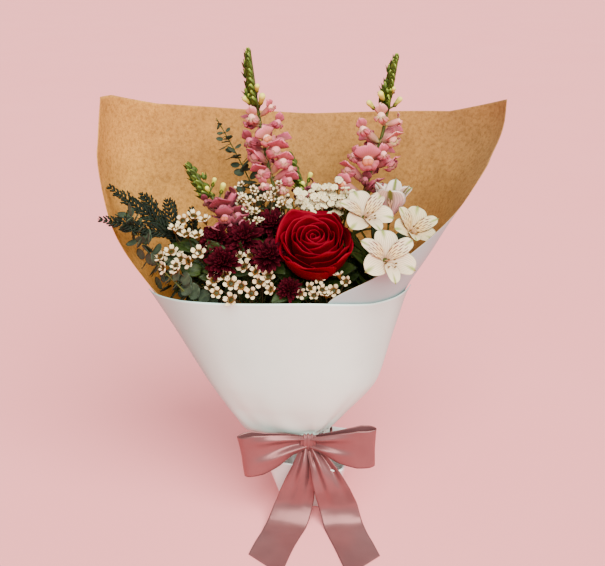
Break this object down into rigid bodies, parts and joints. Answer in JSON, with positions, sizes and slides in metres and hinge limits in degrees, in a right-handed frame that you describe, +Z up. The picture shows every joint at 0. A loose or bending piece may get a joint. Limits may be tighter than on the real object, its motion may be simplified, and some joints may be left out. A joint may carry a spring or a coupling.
{
  "type": "mixed flower bouquet",
  "caption": "Mixed cut-flower bouquet in duplex wrapping paper, tied with a wide satin ribbon bow and standing in a small square tapered holder.",
  "frame": {"origin": "centre of the holder's underside, on the surface it stands on", "axes": "+Z up along the holder, -Y towards the front of the bouquet, where the bow is"},
  "size_m": [0.4057, 0.2401, 0.4963],
  "materials": {
    "holder": "satin",
    "twine": "matte",
    "kraft_paper": "matte",
    "white_paper": "matte",
    "film": "gloss",
    "satin": "satin",
    "rose_petal": "satin",
    "stem": "satin",
    "alstroemeria_petal": "satin",
    "chrysanthemum_petal": "matte",
    "snapdragon": "satin",
    "eucalyptus": "matte",
    "wax_flower": "matte",
    "statice": "matte",
    "cypress": "matte"
  },
  "bodies": {
    "root": {"holder": "holder", "stem_tie": "twine", "paper_back": "kraft_paper", "film": "film", "paper_front": "white_paper", "ribbon_band": "satin", "ribbon_bow": "satin", "rose_bloom": "rose_petal", "rose_stem": "stem", "alstroemeria_1": "alstroemeria_petal", "alstroemeria_2": "alstroemeria_petal", "alstroemeria_3": "alstroemeria_petal", "alstroemeria_4": "alstroemeria_petal", "alstroemeria_stem": "stem", "chrysanthemum_1": "chrysanthemum_petal", "chrysanthemum_2": "chrysanthemum_petal", "chrysanthemum_3": "chrysanthemum_petal", "chrysanthemum_4": "chrysanthemum_petal", "chrysanthemum_5": "chrysanthemum_petal", "chrysanthemum_6": "chrysanthemum_petal", "chrysanthemum_stem": "stem", "snapdragon_tall_left": "snapdragon", "snapdragon_tall_right": "snapdragon", "snapdragon_short_left": "snapdragon", "snapdragon_short_middle": "snapdragon", "eucalyptus_tall": "eucalyptus", "eucalyptus_side": "eucalyptus", "wax_flower_front": "wax_flower", "wax_flower_left": "wax_flower", "wax_flower_low": "wax_flower", "wax_flower_top": "wax_flower", "statice": "statice", "cypress": "cypress"}
  },
  "joints": []
}
